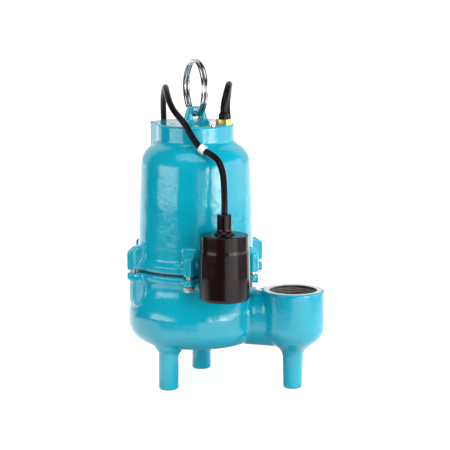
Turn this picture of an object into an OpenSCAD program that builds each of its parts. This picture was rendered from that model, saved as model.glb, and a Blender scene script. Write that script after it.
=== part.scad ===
// Submersible effluent pump with a vertical 2 inch discharge and a tethered float switch.
// The pump stands on three cast legs at z = 0. Its shaft is vertical. Every module is drawn about
// the shaft axis and then placed, so that the origin lies under the middle of the whole pump.

/* [Motor housing] */
// Radius of the housing wall just above its flange
body_r = 75; // [74:0.5:76]
// Radius of the housing wall where the shoulder starts
body_top_r = 71; // [70:0.5:72]
// Radius of the neck above the shoulder
neck_r = 50; // [49:0.5:51]
// Height of the flat top above the floor
top_z = 338; // [336:1:342]
// Wall thickness of the iron castings
wall = 7; // [6:0.5:8]

/* [Flanges and bolts] */
// Radius of the housing and volute flanges
flange_r = 80; // [79:0.5:82]
// Height of the volute flange's upper face
flange_z = 150; // [148:1:152]
// Open gap between the two flanges
flange_gap = 3.5; // [3:0.5:5]
// Radius of the circle of flange bolts
bolt_circle_r = 89; // [88:0.5:91]
// Half the width of a bolt ear
ear_half = 7.5; // [7:0.5:8]
// Diameter of the flange bolts
bolt_d = 8; // [6:1:8]

/* [Volute and legs] */
// Largest outer radius of the volute
volute_r = 88.5; // [87:0.5:90]
// Distance from the shaft to the middle of the discharge
discharge_x = 133; // [130:1:136]
// Outer radius of the discharge boss
boss_r = 40.5; // [39:0.5:42]
// Height of the discharge rim above the floor
discharge_z = 129; // [126:1:132]
// Wall radius of the tapped discharge hole
port_r = 29.2; // [28.5:0.1:29.5]
// Radius of the suction hole in the volute floor
inlet_r = 30; // [27:0.5:31]
// Radius of a leg at the floor
foot_r = 11.5; // [11:0.5:12.5]

/* [Lifting ring] */
// Outer diameter of the split ring
ring_d = 79; // [76:1:82]
// Diameter of the ring's wire
ring_wire_d = 4.6; // [4:0.1:4.7]

/* [Float switch] */
// Distance from the shaft to the middle of the hanging float
float_reach = 114.5; // [114:0.5:116]
// Angle of the hanging float about the shaft
float_angle = -51.5; // [-53:0.5:-50]
// Largest radius of the float
float_r = 31.9; // [31:0.1:32]
// Height of the float's lower end
float_z = 128.5; // [127:0.5:130]

/* [Cords] */
// Diameter of the power cord
power_cord_d = 8.6; // [8:0.1:9]
// Diameter of the float switch cord
float_cord_d = 8; // [7.5:0.1:8.2]
// Space between neighbouring turns of a coil
coil_gap = 0.8; // [0.6:0.1:1.2]

/* [Hidden] */
$fn = 72;

// Fit and small clearances
e = 0.05;
thin = 0.02;
cut = 1;

// Flange ears stand every 60 degrees, starting here
ear_first = 45;
ear_count = 6;
ear_angles = [for (i = [0:ear_count - 1]) ear_first + i * 360 / ear_count];
stud_angle = 225;
housing_z = flange_z + flange_gap;
upper_flange_t = 10;
lower_flange_t = 8.5;
upper_ear_z = 184;
lower_ear_z = flange_z - 9.5;
head_h = 6;

// The whole pump's middle is the origin
ear_side = bolt_circle_r * cos(15) + ear_half;
pump_x = (ear_side - (discharge_x + boss_r)) / 2;
pump_y = (float_r - float_reach * sin(float_angle) - ear_side) / 2;

// Housing levels
shoulder_z = 284;
shoulder_c = 40;
shoulder_r = body_top_r - shoulder_c;
roof_t = 8;
roof_z = top_z - roof_t;
cavity_r = 64;
lobe_angle = 131;
lobe_r = 68;
lobe_half = 44;

// Lug on the roof
lug_angle = 40.5;
lug_base = 32;
lug_top = 19;
lug_h = 22;
lug_t = 13;
lug_hole_r = 6;
scoop_t = 4.5;
ring_hole_z = top_z + 8.5;
ring_drop = 2.4;
ring_r = (ring_d - ring_wire_d) / 2;
ring_pitch = ring_wire_d + 0.2;

// Cord gland
gland_at = [39.5, -3];
gland_af = 17.5;
gland_h = 7;
boot_r = 6.4;
boot_h = 8.5;
boot_z = top_z + gland_h;
power_exit_z = boot_z + boot_h;

// Shaft line levels
shaft_r = 8;
bearing_bore_r = 8.5;
bearing_r = 20;
bearing_w = 12;
ball_r = 3.375;
ball_circle_r = 14.25;
ball_count = 8;
lower_bearing_z = 161;
upper_bearing_z = 296;
core_z = 196;
core_h = 70;
air_gap = 0.5;
rotor_r = 31;
impeller_r = 56;

// Volute inside and out
volute_floor_z = 54;
floor_t = 10;
volute_round = 27;
chamber_r = 80;
spigot_r = 68;
passage_low = 84;
passage_z = 92;
passage_outer_r = 31;
passage_r = 24;
elbow_r = 26;
leg_r = foot_r + 1.4;
pad_w = 20;
pad_z = 106;
pad_reach = 91;
legs_at = [[-15, -61], [-15, 61]];

// Float, measured from its own lower end
float_h = 82.5;
seam_h = 60.5;
float_top_r = 30.4;
neck_low = float_h;
neck_h = 25;
neck_top = neck_low + neck_h;
float_wall = 2.5;
tube_r = 8.6;
switch_ball_r = 8.5;
tube_low = 30;
ball_travel = 20;
float_at = [float_reach * cos(float_angle), float_reach * sin(float_angle), float_z];

// Float cord clip: the cord passes it in this direction
clip_at = [31.3, -58.9, 312];
clip_dir = unit([0.85, -0.064, -0.523]);
clip_half = 4;
clip_normal = unit([0.33, -0.635, 0.70]);
pivot_gap = 0.05;
tether_pivot = clip_at + clip_dir * (clip_half + float_cord_d / 2 + pivot_gap);

// Routes of the cords, each point [x, y, z] from the shaft axis and the floor
power_route = [[39.5, -3, power_exit_z], [39.5, -2.6, 360], [39.8, -0.6, 367],
    [40, 3.6, 373.8], [39.4, 10.2, 380], [37.5, 20, 384.8], [34, 33, 386.5], [30, 46, 384.5],
    [25, 57.5, 379.5], [20.5, 68, 371], [16, 77, 359], [13.5, 85.5, 342], [13, 93.5, 318],
    [13, 100.5, 288], [13, 106.5, 256], [13.5, 112.5, 222], [13.5, 119.5, 188], [15, 127.5, 154],
    [18, 137.5, 121], [23, 151, 90], [29.5, 168, 62], [37, 188, 39], [44.5, 209, 22.5],
    [50, 230, 11.5], [51.5, 250.5, 6.5]];
float_route = [[20, -57.6, 322.6], [13.8, -57, 331.5], [8, -56, 340.5], [1.5, -53.5, 347],
    [-6, -49.5, 353], [-13.5, -43.5, 358.5], [-20, -36.5, 364.5], [-26.5, -27.5, 371],
    [-32.5, -17, 377], [-39, -4, 381.5], [-45, 9.5, 382.5], [-51.5, 22.5, 379.5],
    [-57.5, 35, 372], [-62.5, 46, 360], [-66, 55.5, 343], [-68.5, 64, 320], [-70.5, 72, 290],
    [-72, 79, 256], [-74, 86, 222], [-76, 93.5, 188], [-77, 102, 156], [-77, 113, 127],
    [-75.5, 127.5, 101], [-72, 145.5, 78], [-68, 166, 59], [-65, 187, 44.5], [-64, 208, 35],
    [-65.5, 222.5, 29.5]];
tether_route = [[46.3, -61.3, 304.4], [54.3, -66.3, 300], [60.5, -72, 292.8], [65.5, -77.5, 282],
    [68.8, -83.5, 267], [70.7, -87.6, 251.5]];
// From the float cord's coil up to its plug, which lies on the coils
plug_route = [[-78.5, 263.5, 36.5], [-78.5, 276, 40.5], [-73.5, 288, 43.8], [-65, 297.5, 46],
    [-54, 304, 48], [-41.5, 307, 50], [-29, 306.5, 51.5]];

// Coils lie one on the other behind the pump, held off the floor by their ties
coil_at = [-17, 270];
tie_t = 1.2;
tie_w = 5;
tie_gap = 0.3;
tie_angles = [250, 305];
coil_steps = 24;
// Outer radius of each coil, and turns in each of its two layers
power_coil_r = 64;
power_turns = 3;
float_coil_r = 60;
float_turns = 2.75;
power_coil_z = tie_t + tie_gap + power_cord_d / 2;
float_coil_z = power_coil_z + 2 * (power_cord_d + coil_gap);
// Angle about the coils' middle at which each cord comes to its coil
power_from = 7.5;
float_from = 205;

// Plugs: a straight one, and one with a receptacle in its back
relief_l = 38;
plug_w = 24;
plug_l = 34;
piggy_relief_l = 22;
piggy = [31, 28, 44];
blade = [1.5, 6.3, 17.5];
blade_gap = 12.7;
pin_r = 2.4;
pin_l = 20.6;
pin_off = 11.9;

// ---------------------------------------------------------------- helpers

function unit(v) = v / norm(v);
function end_of(p) = p[len(p) - 1];

// Points along a circular arc of a profile
function arc(centre, r, from, to, n = 8) =
    [for (i = [0:n]) centre + r * [cos(from + (to - from) * i / n), sin(from + (to - from) * i / n)]];

// Catmull-Rom point between b and c
function between(a, b, c, d, t) =
    0.5 * (2 * b + (c - a) * t + (2 * a - 5 * b + 4 * c - d) * t * t
        + (3 * b - a - 3 * c + d) * t * t * t);

// A smooth line through the points p, with the given steps from each to the next
function smooth(p, steps) = let (n = len(p)) concat(
    [for (i = [0:n - 2], s = [0:steps - 1])
        between(p[max(i - 1, 0)], p[i], p[i + 1], p[min(i + 2, n - 1)], s / steps)],
    [p[n - 1]]);

function tangents(p) = let (n = len(p))
    [for (i = [0:n - 1]) unit(p[min(i + 1, n - 1)] - p[max(i - 1, 0)])];

// Side vectors carried along the line without twist
function carried(t, last, i = 0, out = []) = i == len(t) ? out :
    let (side = unit(last - (last * t[i]) * t[i])) carried(t, side, i + 1, concat(out, [side]));

// Round tube along a line of points
module tube(p, r, sides, first = [0.31, 0.17, 0.93]) {
    t = tangents(p);
    u = carried(t, first);
    n = len(p);
    rings = [for (i = [0:n - 1], k = [0:sides - 1]) let (w = cross(t[i], u[i]), a = 360 * k / sides)
        p[i] + r * (cos(a) * u[i] + sin(a) * w)];
    walls = [for (i = [0:n - 2], k = [0:sides - 1]) let (j = (k + 1) % sides, a = i * sides)
        each [[a + k, a + j + sides, a + j], [a + k, a + k + sides, a + j + sides]]];
    start = [for (k = [1:sides - 2]) [0, k, k + 1]];
    last = (n - 1) * sides;
    finish = [for (k = [1:sides - 2]) [last, last + k + 1, last + k]];
    polyhedron(concat(rings), concat(walls, start, finish), convexity = 10);
}

module placed() translate([pump_x, pump_y, 0]) children();

// Turns +Z to the direction w, with +Y kept as high as it goes
module facing(at, w) {
    u = unit(cross([0, 0, 1], w));
    v = cross(w, u);
    translate(at) multmatrix([[u[0], v[0], w[0], 0], [u[1], v[1], w[1], 0], [u[2], v[2], w[2], 0],
        [0, 0, 0, 1]]) children();
}

module around(a, r, z = 0) rotate(a) translate([r, 0, z]) children();
module ring(r_out, r_in, z, h) translate([0, 0, z]) difference() {
    cylinder(r = r_out, h = h);
    translate([0, 0, -cut]) cylinder(r = r_in, h = h + 2 * cut);
}

// Plan of one flange ear, reaching from inside the wall to the bolt
module ear_plan(inner) {
    translate([bolt_circle_r, 0]) circle(r = ear_half);
    translate([inner, -ear_half]) square([bolt_circle_r - inner, 2 * ear_half]);
}

// ---------------------------------------------------------------- motor housing

// Outer profile of the turned part of the housing
function housing_profile() = concat(
    [[0, housing_z], [flange_r, housing_z], [flange_r, housing_z + upper_flange_t]],
    arc([body_r + 4.6, housing_z + upper_flange_t + 4.6], 4.6, 270, 180, 5),
    [[74.1, 192], [72.9, 240]],
    arc([shoulder_c, shoulder_z], shoulder_r, 0, 66, 10),
    arc([neck_r + 5.5, shoulder_z + shoulder_r + 2.3], 5.5, 248, 180, 4),
    [[neck_r, top_z - 1.2], [neck_r - 1.2, top_z], [0, top_z]]);

module lobe(r, half, low, high) rotate(lobe_angle) intersection() {
    translate([0, 0, low]) cylinder(r = r, h = high - low);
    translate([0, -half, low - cut]) cube([r + cut, 2 * half, high - low + 2 * cut]);
}

module lug() rotate(lug_angle) translate([0, lug_t / 2, top_z - e]) rotate([90, 0, 0])
    linear_extrude(lug_t) polygon([[-lug_base / 2, 0], [lug_base / 2, 0], [lug_base / 2, 1.5],
        [lug_top / 2, lug_h - 1.5], [lug_top / 2 - 1.5, lug_h], [1.5 - lug_top / 2, lug_h],
        [-lug_top / 2, lug_h - 1.5], [-lug_base / 2, 1.5]]);

// Hole for the lifting ring. The front face has a V-shaped scoop over it, open at the lug's top
module lug_hole() rotate(lug_angle) translate([0, 0, ring_hole_z]) rotate([90, 0, 0]) {
    translate([0, 0, -lug_t]) cylinder(r = lug_hole_r, h = 2 * lug_t);
    translate([0, 0, lug_t / 2 - scoop_t]) linear_extrude(lug_t)
        polygon([[-4, -5], [4, -5], [8, lug_h - 8], [-8, lug_h - 8]]);
}

// The ears' tops slope down outwards
module upper_ears() intersection() {
    for (a = ear_angles) rotate(a) translate([0, 0, housing_z])
        linear_extrude(upper_ear_z - housing_z) ear_plan(body_r - 4);
    rotate_extrude() polygon([[0, housing_z], [bolt_circle_r + ear_half + 1, housing_z],
        [bolt_circle_r + ear_half + 1, upper_ear_z - 9], [bolt_circle_r - 4, upper_ear_z],
        [0, upper_ear_z]]);
}

module bearing_cup() difference() {
    translate([0, 0, upper_bearing_z - 2]) cylinder(r = 27, h = roof_z - upper_bearing_z + 3);
    translate([0, 0, upper_bearing_z - 3]) cylinder(r = bearing_r + thin, h = 3 + bearing_w + 1.6);
    translate([0, 0, upper_bearing_z]) cylinder(r = 15, h = roof_z - upper_bearing_z - 2);
}

module motor_housing() color("darkturquoise") placed() {
    difference() {
        union() {
            rotate_extrude() polygon(housing_profile());
            lobe(lobe_r, lobe_half, shoulder_z + 6, top_z);
            lug();
            upper_ears();
        }
        rotate_extrude() polygon(concat(
            [[0, housing_z - cut], [cavity_r, housing_z - cut]],
            arc([shoulder_c, shoulder_z], cavity_r - shoulder_c, 0, 60, 6),
            [[neck_r - wall, 306], [neck_r - wall, roof_z], [0, roof_z]]));
        lobe(lobe_r - wall, lobe_half - wall, shoulder_z, roof_z);
        lug_hole();
        for (a = ear_angles) around(a, bolt_circle_r, housing_z - cut)
            cylinder(d = bolt_d + thin, h = 25 + cut);
        translate([gland_at[0], gland_at[1], roof_z - cut]) cylinder(r = 8.5, h = roof_t + 2 * cut);
        translate([33.2, -28.5, roof_z - cut]) cylinder(r = 4, h = roof_t + 2 * cut);
        translate([-24.7, -18.5, top_z - 5]) cylinder(r = 2.8, h = 6);
        facing(clip_at - clip_normal * 12, clip_normal) cylinder(r = 2, h = 9);
    }
    bearing_cup();
}

// ---------------------------------------------------------------- volute casing

function bulge(z) = body_r + 1 + (volute_r - body_r - 1) * (1 + cos(180 * (z - 98) / 40)) / 2;

function volute_profile() = concat(
    [[0, volute_floor_z]],
    arc([volute_r - volute_round, volute_floor_z + volute_round], volute_round, 270, 360, 10),
    [for (z = [98:5:138]) [bulge(z), z]],
    [[flange_r, flange_z - lower_flange_t], [flange_r, flange_z], [0, flange_z]]);

// A leg that flares into the volute's underside, more on its inner side than on its outer one
module leg(at) {
    translate(at) rotate_extrude() polygon([[0, 0], [foot_r, 0], [foot_r + 1, 1.2],
        [leg_r, 30], [leg_r, 66], [0, 66]]);
    translate(at - unit(at) * 3) rotate_extrude() polygon(concat([[0, 36]],
        arc([leg_r - 3 + 21, 36], 21, 180, 125, 8), [[leg_r + 6, 66], [0, 66]]));
}

function boss_profile() = concat(
    [[0, 0], [foot_r - 0.5, 0], [foot_r + 0.5, 1.2], [foot_r + 1.9, 41.4]],
    arc([foot_r + 1.9 + 14, 41.4], 14, 180, 128, 6),
    arc([boss_r - 26, 82], 26, -52, 0, 8),
    [[boss_r, discharge_z - 1], [boss_r - 1, discharge_z], [0, discharge_z]]);

// Solid pad under the stud's ear, with a rounded lower edge
module stud_pad() intersection() {
    rotate(stud_angle) translate([body_r - 4, -pad_w / 2, pad_z])
        cube([pad_reach, pad_w, lower_ear_z + 2 - pad_z]);
    rotate_extrude() polygon(concat([[body_r - 6, pad_z]], arc([pad_reach - 7, pad_z + 7], 7, 270, 360),
        [[pad_reach, lower_ear_z + 2], [body_r - 6, lower_ear_z + 2]]));
}

// Outside of the passage from the volute to the elbow, taller than it is wide
module passage_wall() translate([60, 0, 0]) {
    for (z = [passage_low, passage_z]) translate([0, 0, z]) rotate([0, 90, 0])
        cylinder(r = passage_outer_r, h = discharge_x - 60);
    translate([0, -passage_outer_r, passage_low])
        cube([discharge_x - 60, 2 * passage_outer_r, passage_z - passage_low]);
}

module volute_casing() color("darkturquoise") placed() difference() {
    union() {
        rotate_extrude() polygon(volute_profile());
        for (a = ear_angles) rotate(a) translate([0, 0, lower_ear_z])
            linear_extrude(flange_z - lower_ear_z) ear_plan(body_r - 4);
        stud_pad();
        for (p = legs_at) leg(p);
        translate([discharge_x, 0, 0]) rotate_extrude() polygon(boss_profile());
        passage_wall();
    }
    // pump chamber
    rotate_extrude() polygon(concat([[0, volute_floor_z + floor_t]],
        arc([chamber_r - 19, volute_floor_z + floor_t + 19], 19, 270, 360, 6),
        [[chamber_r, 100], [spigot_r + e, 132], [spigot_r + e, flange_z + cut], [0, flange_z + cut]]));
    translate([0, 0, volute_floor_z - cut]) cylinder(r = inlet_r, h = floor_t + 2 * cut);
    // passage, elbow and tapped port
    translate([50, 0, passage_z]) rotate([0, 90, 0]) cylinder(r = passage_r, h = discharge_x - 50);
    translate([discharge_x, 0, 0]) rotate_extrude() polygon(concat([[0, 60]],
        arc([elbow_r - 14, 74], 14, 270, 360, 5), [[elbow_r, 107], [port_r, 107],
        [port_r, discharge_z - 2], [port_r + 2, discharge_z + e], [0, discharge_z + e]]));
    for (a = ear_angles) around(a, bolt_circle_r, a == stud_angle ? lower_ear_z : lower_ear_z - cut)
        cylinder(d = bolt_d + thin, h = flange_z);
}

// ---------------------------------------------------------------- what closes and holds the housing

module seal_plate() color("dimgray") placed() difference() {
    union() {
        translate([0, 0, flange_z + 0.8]) cylinder(r = 76, h = flange_gap - 0.8);
        translate([0, 0, 143]) cylinder(r = spigot_r, h = 10);
        translate([0, 0, housing_z - e]) cylinder(r = cavity_r - 0.1, h = 4);
        translate([0, 0, housing_z]) cylinder(r = 28, h = lower_bearing_z + 10.5 - housing_z);
    }
    translate([0, 0, 142]) cylinder(r = 18, h = 17);
    translate([0, 0, 158]) cylinder(r = 9.6, h = 6);
    translate([0, 0, lower_bearing_z]) cylinder(r = bearing_r + thin, h = bearing_w);
}

module housing_gasket() color("black") placed() ring(75.5, spigot_r + 0.1, flange_z, 0.8);

module hex_bolt(length) {
    cylinder(d = 13 / cos(30), h = head_h, $fn = 6);
    translate([0, 0, head_h - 1.2]) cylinder(r = ear_half - 0.3, h = 1.2);
    translate([0, 0, head_h - e]) cylinder(d = bolt_d, h = length);
}

module housing_bolts() color("silver") placed() for (a = ear_angles) if (a != stud_angle)
    around(a, bolt_circle_r, lower_ear_z - head_h) hex_bolt(36);

module locating_stud() color("silver") placed() around(stud_angle, bolt_circle_r, lower_ear_z)
    cylinder(d = bolt_d, h = 35.5);

module oil_plug() color("silver") placed() translate([33.2, -28.5, 0]) {
    translate([0, 0, top_z]) cylinder(d = 8 / cos(30), h = 7.5, $fn = 6);
    translate([0, 0, top_z]) cylinder(r = 4.6, h = 1.6);
    translate([0, 0, top_z - 7]) cylinder(r = 3.95, h = 8);
}

module cord_gland_nut() color("gold") placed() translate([gland_at[0], gland_at[1], 0]) {
    translate([0, 0, top_z]) rotate(8) cylinder(d = gland_af / cos(30), h = gland_h, $fn = 6);
    translate([0, 0, roof_z]) cylinder(r = 8.45, h = roof_t + 1);
}

module cord_boot() color("black") placed() translate([gland_at[0], gland_at[1], boot_z])
    rotate_extrude() polygon([[0, 0], [boot_r, 0], [boot_r, boot_h - 2.2],
        [boot_r - 1.4, boot_h - 0.8], [power_cord_d / 2 + 0.4, boot_h], [0, boot_h]]);

module cord_clip() color("white") placed() difference() {
    union() {
        facing(clip_at - clip_dir * clip_half, clip_dir)
            cylinder(r = float_cord_d / 2 + 1.7, h = 2 * clip_half);
        facing(clip_at - clip_normal * 11.5, clip_normal) cylinder(r = 1.9, h = 7);
    }
    facing(clip_at - clip_dir * (clip_half + cut), clip_dir)
        cylinder(r = float_cord_d / 2 + e, h = 2 * clip_half + 2 * cut);
}

// ---------------------------------------------------------------- motor

module stator_core() color("gray") placed() ring(cavity_r - 0.1, rotor_r + air_gap, core_z, core_h);

module stator_winding() color("orangered") placed() {
    ring(57, 37, core_z + core_h, 19);
    ring(57, 37, core_z - 19, 19);
}

module start_capacitor() color("dimgray") placed() around(lobe_angle, 44.5, shoulder_z + 7) {
    cylinder(r = 15, h = 34);
    for (y = [-5, 5]) translate([-1.5, y - 0.5, 34 - e]) cube([3, 1, 4.5]);
}

module overload_protector() color("dimgray") placed() around(-60, 47, core_z + core_h + 19)
    translate([-6, -9, 0]) cube([12, 18, 6]);

module bearing_outer(z) difference() {
    ring(bearing_r, ball_circle_r + 2.4, z, bearing_w);
    translate([0, 0, z + bearing_w / 2]) rotate_extrude() translate([ball_circle_r, 0])
        circle(r = ball_r + e);
}

module bearing_inner(z) difference() {
    ring(ball_circle_r - 2.4, bearing_bore_r, z, bearing_w);
    translate([0, 0, z + bearing_w / 2]) rotate_extrude() translate([ball_circle_r, 0])
        circle(r = ball_r + e);
}

// Balls held in one thin cage
module bearing_balls(z) translate([0, 0, z + bearing_w / 2]) {
    for (i = [0:ball_count - 1]) around(i * 360 / ball_count, ball_circle_r) sphere(r = ball_r, $fn = 32);
    ring(ball_circle_r + 0.6, ball_circle_r - 0.6, -1.5, 3);
}

module upper_bearing_outer() color("silver") placed() bearing_outer(upper_bearing_z);
module lower_bearing_outer() color("silver") placed() bearing_outer(lower_bearing_z);
module upper_bearing_inner() color("silver") placed() bearing_inner(upper_bearing_z);
module lower_bearing_inner() color("silver") placed() bearing_inner(lower_bearing_z);
module upper_bearing_balls() color("gainsboro") placed() bearing_balls(upper_bearing_z);
module lower_bearing_balls() color("gainsboro") placed() bearing_balls(lower_bearing_z);
module bearing_spring() color("silver") placed() ring(19, 16, upper_bearing_z + bearing_w, 1.5);

module shaft() color("silver") placed() rotate_extrude() polygon([[0, 108], [5.2, 108], [6, 109],
    [6, 122], [shaft_r, 122], [shaft_r, lower_bearing_z], [bearing_bore_r, lower_bearing_z],
    [bearing_bore_r, lower_bearing_z + bearing_w], [10, lower_bearing_z + bearing_w],
    [10, upper_bearing_z], [bearing_bore_r, upper_bearing_z], [bearing_bore_r, 309], [7.5, 310],
    [0, 310]]);

module rotor_core() color("gray") placed() ring(rotor_r, 10, core_z, core_h);

module rotor_end_rings() color("lightgray") placed() {
    ring(29, 18, core_z + core_h, 7);
    ring(29, 18, core_z - 7, 7);
}

// ---------------------------------------------------------------- wet end

vane_r = 40;
vane_t = 5;

// One swept vane in plan
module vane_plan() intersection() {
    difference() {
        translate([vane_r * 0.72, -vane_r * 0.86]) circle(r = vane_r + vane_t);
        translate([vane_r * 0.72, -vane_r * 0.86]) circle(r = vane_r);
    }
    circle(r = impeller_r);
    translate([0, -impeller_r / 2]) square([impeller_r, 2 * impeller_r]);
}

module impeller() color("dimgray") placed() difference() {
    union() {
        translate([0, 0, 129]) cylinder(r = impeller_r, h = 5);
        translate([0, 0, 119]) cylinder(r1 = 13, r2 = 15, h = 17);
        for (i = [0:5]) rotate(i * 60) translate([0, 0, 111]) linear_extrude(18.5) vane_plan();
    }
    translate([0, 0, 100]) cylinder(r = 6.02, h = 23);
    translate([0, 0, 122]) cylinder(r = shaft_r, h = 20);
    translate([0, 0, 100]) cylinder(r = 12, h = 19);
}

module impeller_nut() color("silver") placed() difference() {
    translate([0, 0, 110]) cylinder(d = 18 / cos(30), h = 9, $fn = 6);
    translate([0, 0, 109]) cylinder(r = 6, h = 11);
}

module seal_bellows() color("black") placed() ring(13, shaft_r, 136, 9);
module seal_head() color("dimgray") placed() ring(15, shaft_r, 145, 6);
module seal_seat() color("white") placed() ring(17.95, 9.6, 151, 7);

// ---------------------------------------------------------------- lifting ring

// One wire of almost two turns, side by side, that crosses over once, low at the back
ring_turn = -62;
ring_from = 15;
ring_to = 705;
ring_cross = 10;
ring_points = 92;
function ring_side(a) = a < 360 - ring_cross ? -1 : a > 360 + ring_cross ? 1 : (a - 360) / ring_cross;
ring_line = [for (i = [0:ring_points]) let (a = ring_from + (ring_to - ring_from) * i / ring_points)
    [ring_side(a) * ring_pitch / 2, ring_r * cos(a + ring_turn), ring_r * sin(a + ring_turn)]];

module lifting_ring() color("silver") placed() translate([0, 0, ring_hole_z - ring_drop + ring_r])
    rotate(lug_angle) tube(ring_line, ring_wire_d / 2, 10);

// ---------------------------------------------------------------- float switch

module at_float() placed() translate(float_at) children();

module float_shell() color("black") at_float() difference() {
    rotate_extrude() polygon(concat([[0, 0]], arc([float_r - 4.4, 4], 4, 270, 360, 5),
        [[float_r, 30], [float_r - 0.6, seam_h], [0, seam_h]]));
    translate([0, 0, float_wall]) cylinder(r = float_top_r - 4, h = seam_h);
}

module float_cap() color("black") at_float() difference() {
    rotate_extrude() polygon(concat([[0, seam_h], [float_r - 1.1, seam_h], [float_top_r, seam_h + 4]],
        arc([float_top_r - 1.6, float_h - 1.6], 1.4, 0, 90, 4), [[0, float_h]]));
    translate([0, 0, seam_h - cut]) cylinder(r = float_top_r - 4, h = float_h - seam_h - float_wall + cut);
}

module float_neck() color("black") at_float() rotate_extrude() polygon(concat([[0, neck_low],
    [12.8, neck_low], [12.8, neck_low + 1.5]], arc([14.3, neck_low + 6.5], 5, 250, 180, 4),
    [[9.3, neck_top - 0.8], [8.5, neck_top], [0, neck_top]]));

tether_line = concat([tether_pivot], tether_route,
    [float_at + [0, 0, neck_top + 5], float_at + [0, 0, neck_top]]);

module float_tether() color("black") placed() tube(smooth(tether_line, 2), float_cord_d / 2, 12);

module switch_tube() color("white") at_float() difference() {
    translate([0, 0, tube_low - 3]) cylinder(r = tube_r + 2, h = 2 * switch_ball_r + ball_travel + 6.2);
    translate([0, 0, tube_low]) cylinder(r = tube_r, h = 2 * switch_ball_r + ball_travel + 0.2);
}

module switch_contacts() color("gold") at_float()
    for (y = [-4, 4]) translate([-2, y - 0.5, tube_low + 2 * switch_ball_r + ball_travel + 3.2])
        cube([4, 1, 8]);

module switch_ball() color("silver") at_float()
    translate([0, 0, tube_low + switch_ball_r + e]) sphere(r = switch_ball_r);

// ---------------------------------------------------------------- cords

// A coil in two layers: it spirals in, climbs where the spiral reverses, and spirals out.
// side is 1 for a coil that turns anticlockwise and -1 for one that turns clockwise.
function coil_radius(turn, r, turns, pitch) = turn < turns ? r - pitch * turn :
    turn < turns + 0.5 ? r - pitch * (turns + 0.25 * sin(360 * (turn - turns))) :
    r - pitch * (2 * turns + 0.5 - turn);
function coil_line(side, from, z, r, turns, pitch) = [for (i = [0:coil_steps * (2 * turns + 0.5)])
    let (turn = i / coil_steps, s = coil_radius(turn, r, turns, pitch), a = from + side * 360 * turn)
    [coil_at[0] + s * cos(a), coil_at[1] + s * sin(a),
        z + max(0, min(1, 2 * (turn - turns))) * pitch]];

// Least gap between parts of a tube that lie at least half a turn apart along it
function least_gap(p, d) = min([for (i = [0:len(p) - 1], j = [i + coil_steps / 2:len(p) - 1])
    if (j < len(p)) norm(p[i] - p[j])]) - d;

power_pitch = power_cord_d + coil_gap;
float_pitch = float_cord_d + coil_gap;
power_loops = coil_line(1, power_from, power_coil_z, power_coil_r, power_turns, power_pitch);
float_loops = coil_line(-1, float_from, float_coil_z, float_coil_r, float_turns, float_pitch);
function before(p, d) = p[0] - unit(p[1] - p[0]) * d;
function after(p, d) = let (n = len(p)) p[n - 1] + unit(p[n - 1] - p[n - 2]) * d;
power_coil_line = concat([before(power_loops, power_cord_d)], power_loops,
    [after(power_loops, power_cord_d)]);
float_coil_line = concat([before(float_loops, float_cord_d)], float_loops,
    [after(float_loops, float_cord_d)]);
echo(power_coil_gap = least_gap(power_coil_line, power_cord_d));
echo(float_coil_gap = least_gap(float_coil_line, float_cord_d));

module power_cord() color("black") placed()
    tube(concat(power_route, [power_coil_line[0]]), power_cord_d / 2, 8);
module power_cord_coil() color("black") placed() tube(power_coil_line, power_cord_d / 2, 6);
module float_cord() color("black") placed()
    tube(concat([clip_at + clip_dir * clip_half, clip_at - clip_dir * clip_half], float_route,
        [float_coil_line[0]]), float_cord_d / 2, 8);
module float_cord_coil() color("black") placed() tube(float_coil_line, float_cord_d / 2, 6);

module float_cord_end() color("black") placed()
    tube(concat([end_of(float_coil_line)], plug_route), float_cord_d / 2, 8);

// Square with round corners, about the axis
module rounded(w, h, r) {
    square([w - 2 * r, h], center = true);
    square([w, h - 2 * r], center = true);
    for (x = [-1, 1], y = [-1, 1]) translate([x * (w / 2 - r), y * (h / 2 - r)]) circle(r = r);
}

// Two flat blades and a round ground pin, standing on z = 0
module blades() translate([0, -4, 0]) {
    for (x = [-1, 1]) translate([x * blade_gap / 2 - blade[0] / 2, -blade[1] / 2, 0]) cube(blade);
    translate([0, pin_off, 0]) cylinder(r = pin_r, h = pin_l);
}

// Slots of a receptacle, sunk into z = 0
module slots() mirror([0, 0, 1]) translate([0, -4, -cut]) {
    for (x = [-1, 1]) translate([x * blade_gap / 2 - 1.1, -3.8, 0]) cube([2.2, 7.6, 12 + cut]);
    translate([0, pin_off, 0]) cylinder(r = pin_r + 0.4, h = 12 + cut);
}

plug_h = 2 * (power_coil_z + power_pitch) - 0.1;
module at_power_plug() placed() facing(end_of(power_coil_line),
    unit(end_of(power_coil_line) - end_of(power_loops))) children();

module power_plug() color("black") at_power_plug() {
    cylinder(r1 = power_cord_d / 2 + 1, r2 = 8.5, h = relief_l);
    translate([0, 0, relief_l - e]) linear_extrude(plug_l + e) rounded(plug_w, plug_h, 5);
}
module power_plug_blades() color("gold") at_power_plug() translate([0, 0, relief_l + plug_l]) blades();

// The blades look across the cord, towards the coils' middle, and the receptacle is opposite
module at_float_plug() placed() facing(end_of(plug_route), unit([11.5, -2, 0])) children();
module piggy_side(x) translate([x, 0, piggy_relief_l + piggy[2] / 2])
    rotate([0, sign(x) * 90, 0]) children();

module float_plug() color("black") at_float_plug() difference() {
    union() {
        cylinder(r1 = float_cord_d / 2 + 1, r2 = 8, h = piggy_relief_l);
        translate([0, 0, piggy_relief_l - e]) linear_extrude(piggy[2] + e) rounded(piggy[0], piggy[1], 5);
    }
    piggy_side(piggy[0] / 2) slots();
}
module float_plug_blades() color("gold") at_float_plug() piggy_side(-piggy[0] / 2) blades();

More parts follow.
